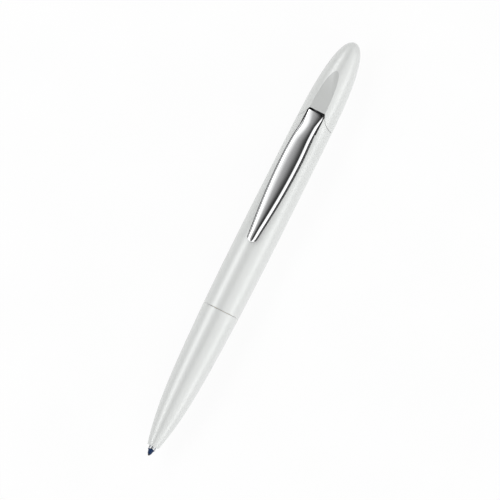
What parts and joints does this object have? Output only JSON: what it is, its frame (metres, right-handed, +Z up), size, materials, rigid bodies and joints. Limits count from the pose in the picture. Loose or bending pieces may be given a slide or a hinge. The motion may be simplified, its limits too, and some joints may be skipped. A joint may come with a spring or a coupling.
{
  "type": "stamp pen",
  "caption": "Twist-action ballpoint pen with a flat clip, whose upper end pulls off as a stamp head with a folded rubber stamp plate and an ink pad on a side arm.",
  "frame": {"origin": "bottom centre of the box around the closed pen lying with its clip on top", "axes": "+X along the pen from the writing tip to the crown of the cap, +Z up through the clip, +Y across the pen"},
  "size_m": [0.14, 0.0122, 0.0139],
  "materials": {
    "pearl_lacquer": "satin gloss white pearl lacquer on thin metal tube",
    "chrome": "polished chrome",
    "steel": "bright nickel-plated steel",
    "brass": "turned brass",
    "navy_metal": "dark blue glossy metal",
    "black_plastic": "moulded black plastic, satin",
    "brown_plastic": "moulded dark brown plastic",
    "white_plastic": "moulded white plastic",
    "foam": "dense dark cushion foam",
    "die_rubber": "grey-blue stamp rubber",
    "ink_felt": "felt soaked with black ink"
  },
  "bodies": {
    "stamp_head": {"cap": "pearl_lacquer", "head_core": "black_plastic", "head_collar": "steel", "hinge_bracket": "black_plastic", "bracket_screw": "steel", "arm": "black_plastic", "arm_rivet": "steel", "plate_pin": "steel", "plate_spring": "steel", "plate_carrier": "black_plastic", "die_backing": "foam", "text_die": "die_rubber", "pad_holder": "black_plastic", "ink_pad": "ink_felt", "pad_end_cap": "brown_plastic", "pad_pin": "steel", "pad_spring": "steel"},
    "pen_body": {"barrel": "pearl_lacquer", "clip_anchor": "steel", "barrel_sleeve": "brass", "twist_cam": "black_plastic", "bulkhead": "black_plastic"},
    "clip": {"clip": "chrome"},
    "front_section": {"front_section": "pearl_lacquer", "front_bush": "brass", "return_spring": "steel"},
    "refill": {"refill_tube": "brass", "refill_plug": "white_plastic", "refill_pusher": "white_plastic", "tip_collar": "steel", "writing_tip": "navy_metal", "writing_ball": "steel"}
  },
  "joints": [
    {"name": "pen_pull", "type": "slide", "parent": "stamp_head", "child": "pen_body", "axis": [-1, 0, 0], "range_m": [0, 0.05]},
    {"name": "clip_flex", "type": "hinge", "parent": "pen_body", "child": "clip", "pos_m": [0.04535, 0, 0.01051], "axis": [0, 1, 0], "range_deg": [0, 5], "stiffness_Nm_per_rad": 0.5},
    {"name": "front_twist", "type": "hinge", "parent": "pen_body", "child": "front_section", "pos_m": [-0.03, 0, 0.00611], "axis": [1, 0, 0], "range_deg": [0, 180]},
    {"name": "refill_slide", "type": "slide", "parent": "front_section", "child": "refill", "axis": [1, 0, 0], "range_m": [0, 0.004], "deforming": ["return_spring"]}
  ],
  "couplings": [
    {"joint": "refill_slide", "follows": "front_twist", "m_per_rad": 0.001273}
  ]
}
